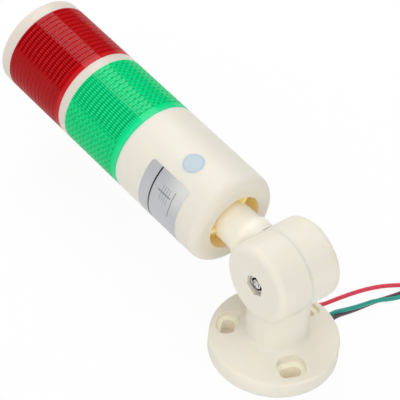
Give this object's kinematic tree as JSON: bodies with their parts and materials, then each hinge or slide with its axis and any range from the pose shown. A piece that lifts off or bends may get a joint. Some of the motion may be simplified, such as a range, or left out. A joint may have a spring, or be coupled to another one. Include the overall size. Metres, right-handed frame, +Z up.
{
  "type": "folding signal tower light",
  "caption": "Two-layer round signal tower light on a folding round base, with ribbed green and red layers and loose leads.",
  "frame": {"origin": "centre of the base's underside", "axes": "+Z up from the mounting surface, X along the fold axis with the nut's face towards -X, +Y along the folded tower"},
  "size_m": [0.1338, 0.2381, 0.0806],
  "materials": {
    "cream_plastic": "satin",
    "green_lens": "gloss",
    "red_lens": "gloss",
    "zinc_steel": "satin",
    "seal_rubber": "matte",
    "white_plastic": "matte",
    "circuit_board": "satin",
    "led_chip": "satin",
    "terminal_green": "matte",
    "capacitor_can": "satin",
    "red_wire": "satin",
    "green_wire": "satin",
    "grey_wire": "satin"
  },
  "bodies": {
    "base": {"base_bracket": "cream_plastic", "friction_washer": "white_plastic", "red_wire": "red_wire", "green_wire": "green_wire", "grey_wire": "grey_wire", "red_wire_coil": "red_wire", "green_wire_coil": "green_wire", "grey_wire_coil": "grey_wire"},
    "tower": {"tilt_arm": "cream_plastic", "pivot_bolt": "zinc_steel", "pivot_nut": "zinc_steel", "head_washer": "zinc_steel", "spring_washer": "zinc_steel", "body_housing": "cream_plastic", "green_lens": "green_lens", "layer_ring": "cream_plastic", "red_lens": "red_lens", "top_cap": "cream_plastic", "neck_nut": "white_plastic", "body_seal": "seal_rubber", "ring_lower_seal": "seal_rubber", "ring_upper_seal": "seal_rubber", "cap_seal": "seal_rubber", "neck_gasket": "seal_rubber", "driver_board": "circuit_board", "board_screws": "zinc_steel", "terminal_block": "terminal_green", "capacitors": "capacitor_can", "green_led_base": "circuit_board", "green_led_column": "white_plastic", "green_led_strips": "circuit_board", "green_leds": "led_chip", "red_led_base": "circuit_board", "red_led_column": "white_plastic", "red_led_strips": "circuit_board", "red_leds": "led_chip"}
  },
  "joints": [
    {"name": "tower_tilt", "type": "hinge", "parent": "base", "child": "tower", "pos_m": [0, 0, 0.0556], "axis": [1, 0, 0], "range_deg": [0, 180]}
  ]
}
